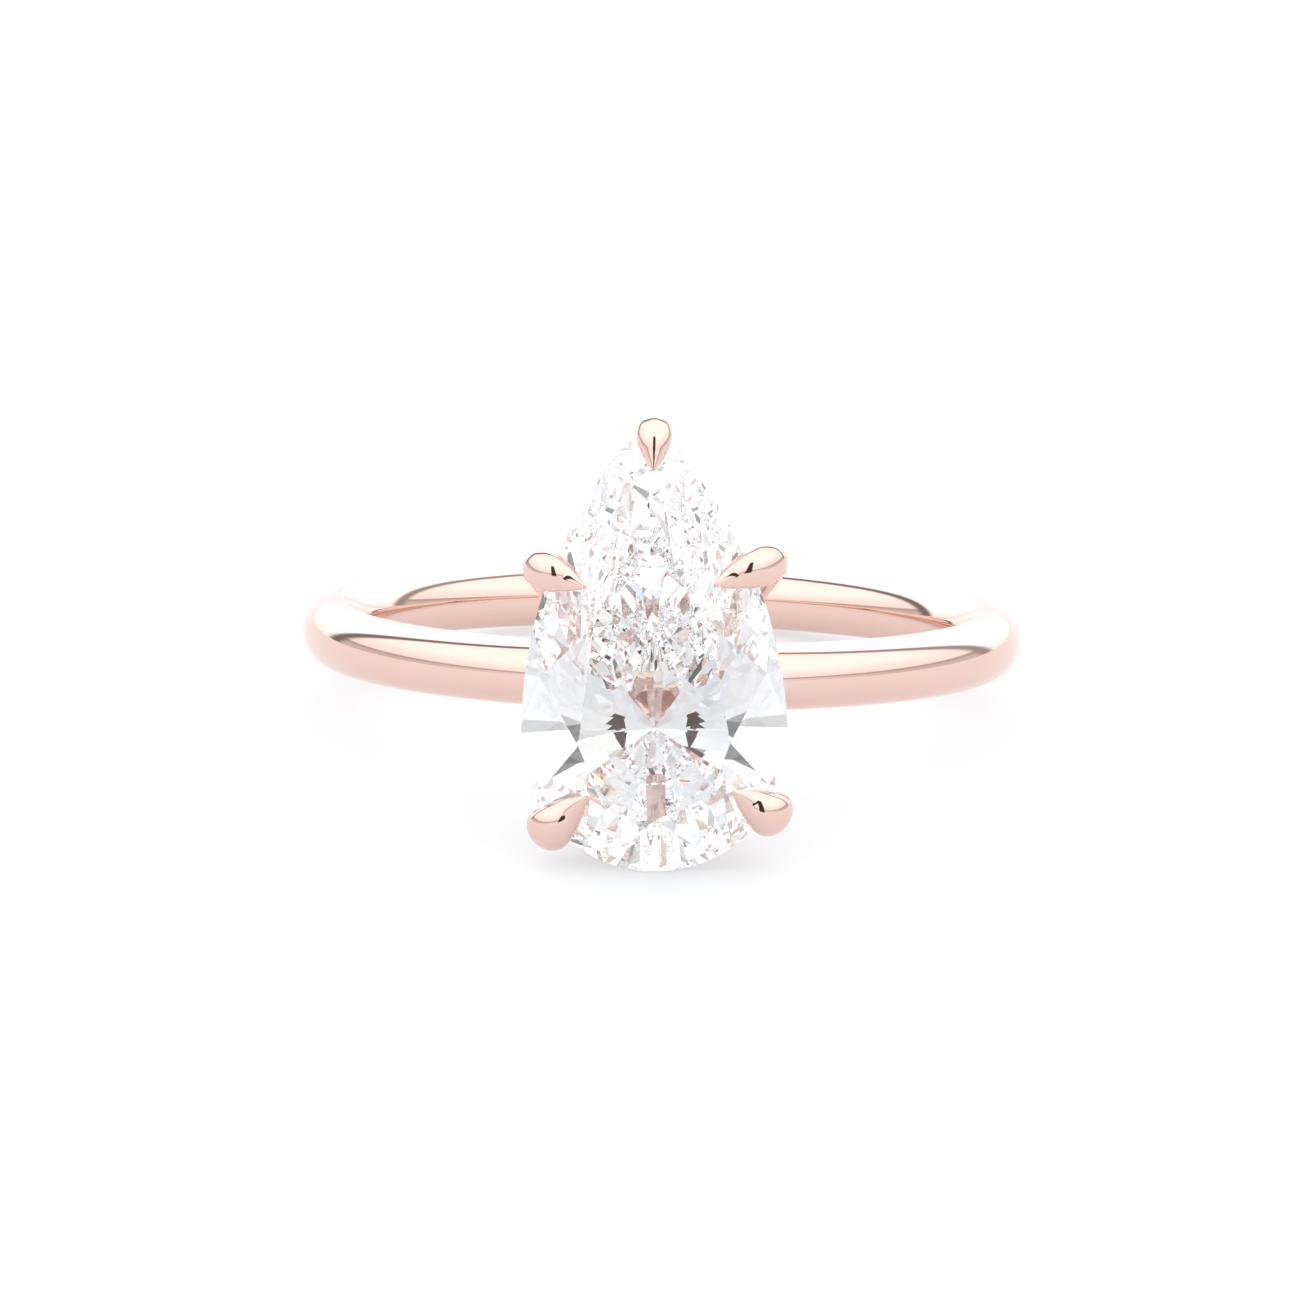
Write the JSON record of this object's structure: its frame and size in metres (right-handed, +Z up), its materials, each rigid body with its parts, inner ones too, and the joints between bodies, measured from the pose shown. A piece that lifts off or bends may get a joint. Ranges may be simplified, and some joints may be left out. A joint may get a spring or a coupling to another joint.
{
  "type": "engagement ring",
  "caption": "Solitaire engagement ring: a pear brilliant held by pointed claws on a pear-shaped gallery, soldered to a plain round band.",
  "frame": {"origin": "bottom centre of the box around the ring as it lies on a table, resting on the round end of the stone and the back of the band", "axes": "+Z up from the table, -Y the way the stone faces, +X to the right of someone looking at the stone"},
  "size_m": [0.02, 0.0248, 0.0118],
  "materials": {
    "rose_gold": "mirror polished rose gold",
    "diamond": "faceted and polished colourless diamond"
  },
  "bodies": {
    "root": {"shank": "rose_gold", "base_rail": "rose_gold", "gallery_rail": "rose_gold", "claw_tip": "rose_gold", "claw_upper_left": "rose_gold", "claw_upper_right": "rose_gold", "claw_lower_left": "rose_gold", "claw_lower_right": "rose_gold", "pear_stone": "diamond"}
  },
  "joints": []
}
